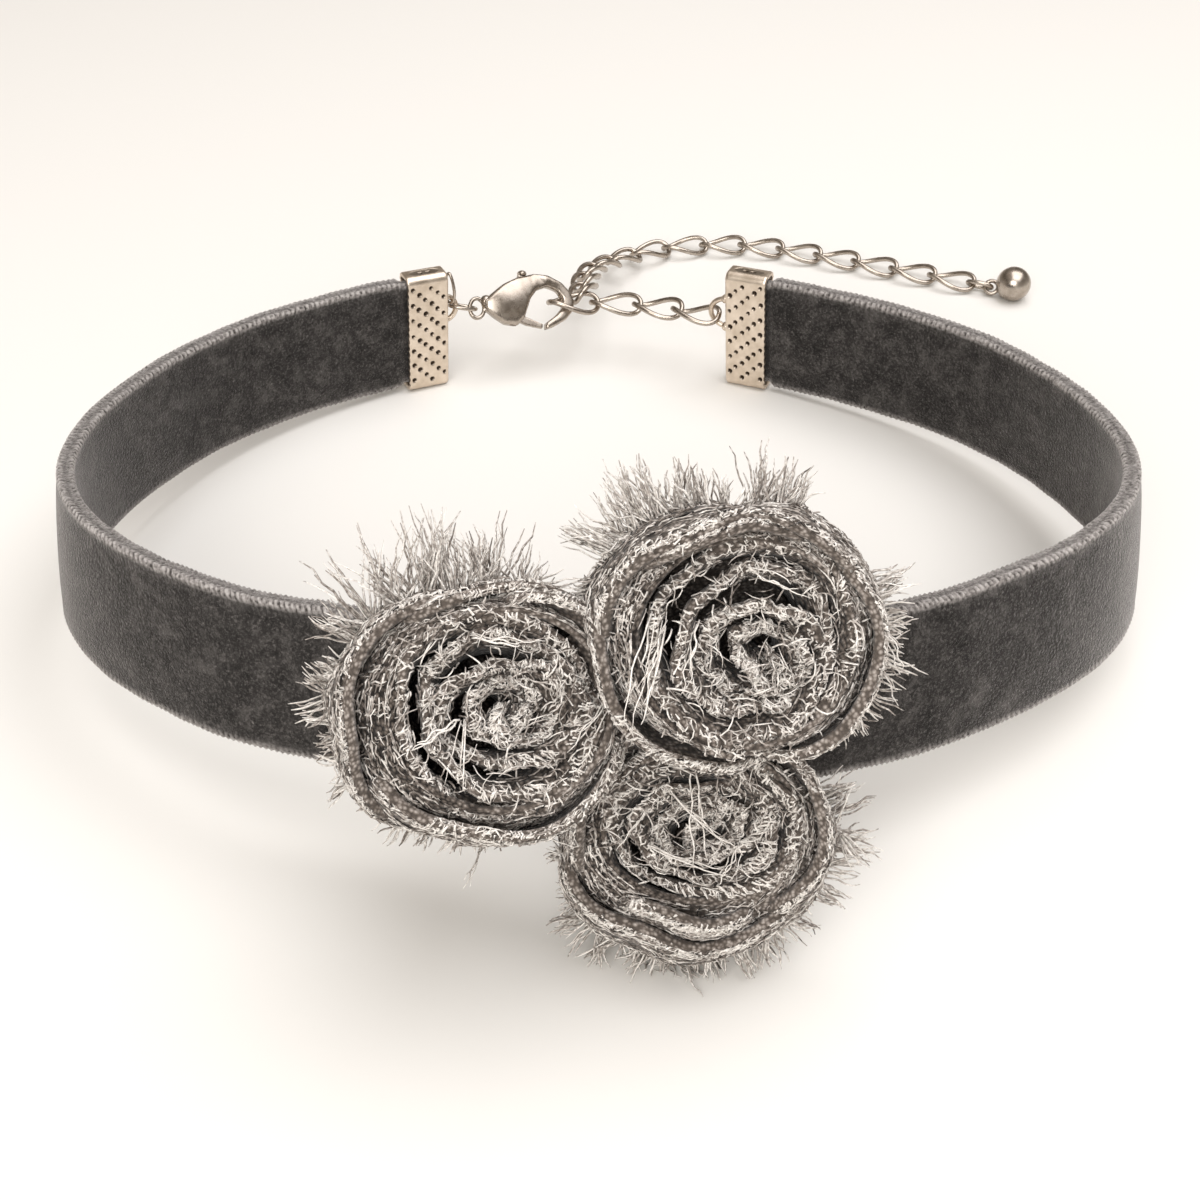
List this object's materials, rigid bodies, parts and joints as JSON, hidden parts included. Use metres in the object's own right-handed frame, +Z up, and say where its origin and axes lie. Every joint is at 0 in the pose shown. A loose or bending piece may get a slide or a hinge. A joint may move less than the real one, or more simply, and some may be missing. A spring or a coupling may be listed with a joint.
{
  "type": "choker necklace",
  "caption": "Velvet ribbon choker with frayed wound-cloth roses in front, metal end clamps, a lobster clasp and an extension chain with a ball.",
  "frame": {"origin": "middle of the whole object's bounding box, on the surface it rests on", "axes": "+Z up from the surface, -Y towards the roses at the front, +X to the right as seen from the front"},
  "size_m": [0.1216, 0.1472, 0.0469],
  "materials": {
    "velvet": "velvet pile",
    "rose_cloth": "coarse frayed weave",
    "nickel": "polished, slightly warm"
  },
  "bodies": {
    "necklace": {"velvet_band": "velvet", "clasp_body": "nickel", "jump_ring": "nickel", "teardrop_ring": "nickel", "clamp_left": "nickel", "clamp_right": "nickel", "front_link_1": "nickel", "front_link_2": "nickel", "front_link_3": "nickel", "front_link_4": "nickel", "tail_link_1": "nickel", "tail_link_2": "nickel", "tail_link_3": "nickel", "tail_link_4": "nickel", "tail_link_5": "nickel", "tail_link_6": "nickel", "tail_link_7": "nickel", "tail_link_8": "nickel", "tail_link_9": "nickel", "tail_link_10": "nickel", "tail_link_11": "nickel", "tail_link_12": "nickel", "tail_link_13": "nickel", "tail_link_14": "nickel", "end_ring": "nickel", "ball": "nickel", "rose_left_bowl": "rose_cloth", "rose_left_coil": "rose_cloth", "rose_top_bowl": "rose_cloth", "rose_top_coil": "rose_cloth", "rose_low_bowl": "rose_cloth", "rose_low_coil": "rose_cloth"},
    "lever": {"clasp_lever": "nickel"}
  },
  "joints": [
    {"name": "lever_hinge", "type": "hinge", "parent": "necklace", "child": "lever", "pos_m": [-0.01502, 0.03533, 0.00922], "axis": [0.309, -0.7494, 0.5855], "range_deg": [0, 25], "stiffness_Nm_per_rad": 0.002}
  ]
}
